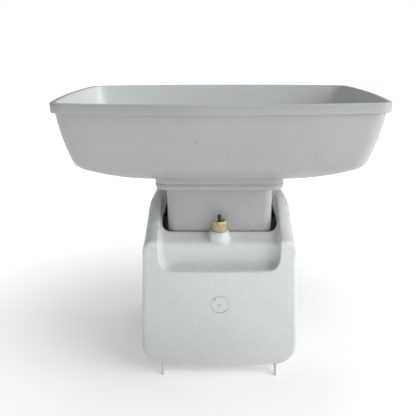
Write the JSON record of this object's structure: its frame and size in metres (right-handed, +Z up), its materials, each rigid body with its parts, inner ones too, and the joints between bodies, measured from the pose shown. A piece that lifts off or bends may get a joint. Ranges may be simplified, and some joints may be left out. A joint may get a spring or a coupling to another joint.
{
  "type": "kitchen scale",
  "caption": "Upright spring kitchen scale: deep bow-sided lift-off pan on a square neck, grey moulded housing with a rear zero knob and a round front dial.",
  "frame": {"origin": "on the table, under the middle of the pan", "axes": "+Z up through the pan; +X along the pan's long side; -Y is the dial side, +Y the side with the zero knob"},
  "size_m": [0.3, 0.205, 0.278],
  "materials": {
    "shell_plastic": "moulded light grey, faintly cool, lightly worn",
    "pan_plastic": "moulded light grey, satin",
    "neck_plastic": "moulded light grey, lightly scuffed",
    "knob_plastic": "cream plastic, yellowed, knurled",
    "bezel_metal": "bright plated",
    "window_clear": "clear moulded window",
    "dial_paint": "off-white printed dial, matt",
    "pointer_paint": "red enamel",
    "zinc_sheet": "zinc-plated pressed sheet",
    "dark_steel": "blackened steel thread",
    "spring_steel": "drawn spring wire",
    "screw_steel": "zinc-plated screws",
    "brass": "machined",
    "rubber": "matt"
  },
  "bodies": {
    "housing": {"rear_housing": "shell_plastic", "front_cover": "shell_plastic", "cover_screws": "screw_steel", "window_bezel": "bezel_metal", "dial_window": "window_clear", "rear_feet": "shell_plastic", "front_feet": "rubber", "frame_bracket": "zinc_sheet", "frame_screws": "screw_steel", "pivot_pins": "screw_steel", "bearing_bracket": "zinc_sheet", "bearing_rivet": "brass", "front_bush": "brass", "rear_bush": "brass", "dial_posts": "brass", "dial_plate": "dial_paint", "dial_screws": "screw_steel"},
    "carriage": {"neck_sleeve": "neck_plastic", "platform": "neck_plastic", "platform_screws": "screw_steel", "carriage_bracket": "zinc_sheet", "bracket_screws": "screw_steel", "carriage_pins": "screw_steel", "rack": "brass", "rack_rivet": "brass"},
    "pan": {"pan": "pan_plastic"},
    "upper_lever": {"upper_lever": "zinc_sheet"},
    "lower_lever": {"lower_lever": "zinc_sheet"},
    "pointer": {"pointer_shaft": "screw_steel", "pointer": "pointer_paint", "pointer_hub": "brass", "pinion": "brass"},
    "zero_knob": {"zero_knob": "knob_plastic"},
    "zero_screw": {"zero_screw": "dark_steel", "main_spring": "spring_steel"}
  },
  "joints": [
    {"name": "carriage_slide", "type": "slide", "parent": "housing", "child": "carriage", "axis": [0, 0, 1], "range_m": [-0.014, 0], "stiffness_N_per_m": 3500, "springref_m": 0.0035, "deforming": ["main_spring"]},
    {"name": "pan_lift", "type": "slide", "parent": "carriage", "child": "pan", "axis": [0, 0, 1], "range_m": [0, 0.06]},
    {"name": "upper_lever_swing", "type": "hinge", "parent": "housing", "child": "upper_lever", "pos_m": [0, -0.03, 0.093], "axis": [1, 0, 0], "range_deg": [-16.2, 0.1]},
    {"name": "lower_lever_swing", "type": "hinge", "parent": "housing", "child": "lower_lever", "pos_m": [0, -0.03, 0.033], "axis": [1, 0, 0], "range_deg": [-16.2, 0.1]},
    {"name": "pointer_turn", "type": "hinge", "parent": "housing", "child": "pointer", "pos_m": [0, 0, 0.088], "axis": [0, 1, 0], "range_deg": [-0.5, 334.8]},
    {"name": "zero_screw_rise", "type": "slide", "parent": "housing", "child": "zero_screw", "axis": [0, 0, 1], "range_m": [-0.0014, 0.0014]},
    {"name": "zero_knob_turn", "type": "hinge", "parent": "housing", "child": "zero_knob", "pos_m": [0, 0.0495, 0.157], "axis": [0, 0, 1], "range_deg": [-725, 725]}
  ],
  "couplings": [
    {"joint": "upper_lever_swing", "follows": "carriage_slide", "rad_per_m": 20.066},
    {"joint": "lower_lever_swing", "follows": "carriage_slide", "rad_per_m": 20.066},
    {"joint": "pointer_turn", "follows": "carriage_slide", "rad_per_m": -416.67},
    {"joint": "zero_knob_turn", "follows": "zero_screw_rise", "rad_per_m": -8976}
  ]
}
